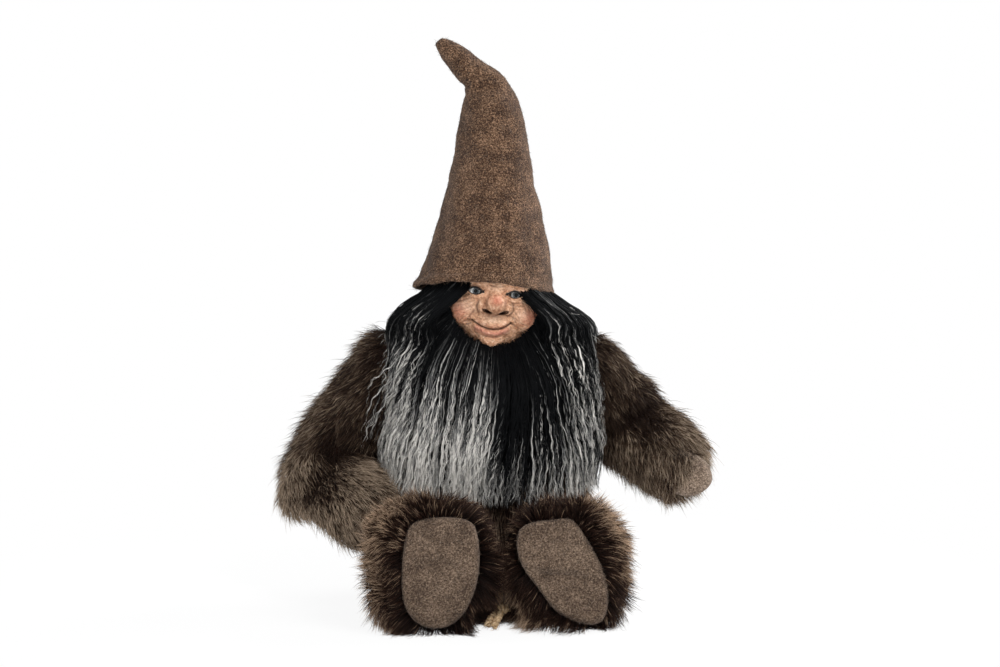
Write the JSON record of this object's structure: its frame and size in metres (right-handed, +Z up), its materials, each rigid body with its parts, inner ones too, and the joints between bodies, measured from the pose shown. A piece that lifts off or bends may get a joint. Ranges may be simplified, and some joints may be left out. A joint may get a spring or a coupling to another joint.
{
  "type": "seated troll figure",
  "caption": "Seated stuffed troll with a fur body, painted face, long wool beard, felt hands and soles, and a tall felt hat; its head, arms, legs and hat tip move.",
  "frame": {"origin": "middle of the flat seat panel, on the surface that the figure sits on", "axes": "+Z up, -Y the way the figure looks, +X the figure's left"},
  "size_m": [0.4615, 0.304, 0.5919],
  "materials": {
    "fur": "long-pile fur",
    "stuffing": "loose fibre fill",
    "pellets": "cloth bag of pellets",
    "base_cloth": "woven cloth",
    "peg_wood": "plain turned wood",
    "rope": "twisted natural fibre",
    "head_foam": "firm padding",
    "face_paint": "moulded and hand painted",
    "eye": "glossy",
    "wool": "long wavy wool, black to silver grey",
    "hat_felt": "thick heathered felt",
    "sole_felt": "heathered felt"
  },
  "bodies": {
    "torso": {"torso_fur": "fur", "torso_stuffing": "stuffing", "pellet_bag": "pellets", "seat_panel": "base_cloth", "neck_peg": "peg_wood", "tail_rope": "rope", "tail_knot": "rope", "tail_ends": "rope"},
    "head": {"head_core": "head_foam", "face_mask": "face_paint", "left_eye": "eye", "right_eye": "eye", "beard": "wool", "hair_left": "wool", "hair_right": "wool", "hair_back": "wool", "hat_cone": "hat_felt", "hat_stuffing": "stuffing"},
    "hat_tip": {"hat_tip": "hat_felt"},
    "left_arm": {"left_arm_fur": "fur", "left_arm_stuffing": "stuffing", "left_hand_felt": "sole_felt", "left_hand_stuffing": "stuffing"},
    "left_leg": {"left_leg_fur": "fur", "left_leg_stuffing": "stuffing", "left_foot_fur": "fur", "left_foot_stuffing": "stuffing", "left_sole": "sole_felt"},
    "right_arm": {"right_arm_fur": "fur", "right_arm_stuffing": "stuffing", "right_hand_felt": "sole_felt", "right_hand_stuffing": "stuffing"},
    "right_leg": {"right_leg_fur": "fur", "right_leg_stuffing": "stuffing", "right_foot_fur": "fur", "right_foot_stuffing": "stuffing", "right_sole": "sole_felt"}
  },
  "joints": [
    {"name": "neck_turn", "type": "hinge", "parent": "torso", "child": "head", "pos_m": [0, 0, 0.265], "axis": [0, 0, 1], "range_deg": [-20, 20], "deforming": ["beard", "hair_left", "hair_right", "hair_back"]},
    {"name": "left_shoulder", "type": "hinge", "parent": "torso", "child": "left_arm", "pos_m": [0.104, 0.004, 0.243], "axis": [0, -1, 0], "range_deg": [0, 60]},
    {"name": "right_shoulder", "type": "hinge", "parent": "torso", "child": "right_arm", "pos_m": [-0.104, 0.004, 0.243], "axis": [0, 1, 0], "range_deg": [0, 60]},
    {"name": "left_hip", "type": "hinge", "parent": "torso", "child": "left_leg", "pos_m": [0.058, -0.1152, 0.041], "axis": [1, 0, 0], "range_deg": [-10, 80]},
    {"name": "right_hip", "type": "hinge", "parent": "torso", "child": "right_leg", "pos_m": [-0.048, -0.1186, 0.041], "axis": [1, 0, 0], "range_deg": [-10, 80]},
    {"name": "hat_tip_fold", "type": "hinge", "parent": "head", "child": "hat_tip", "pos_m": [0.001, 0.018, 0.537], "axis": [0, 1, 0], "range_deg": [0, 45]}
  ]
}
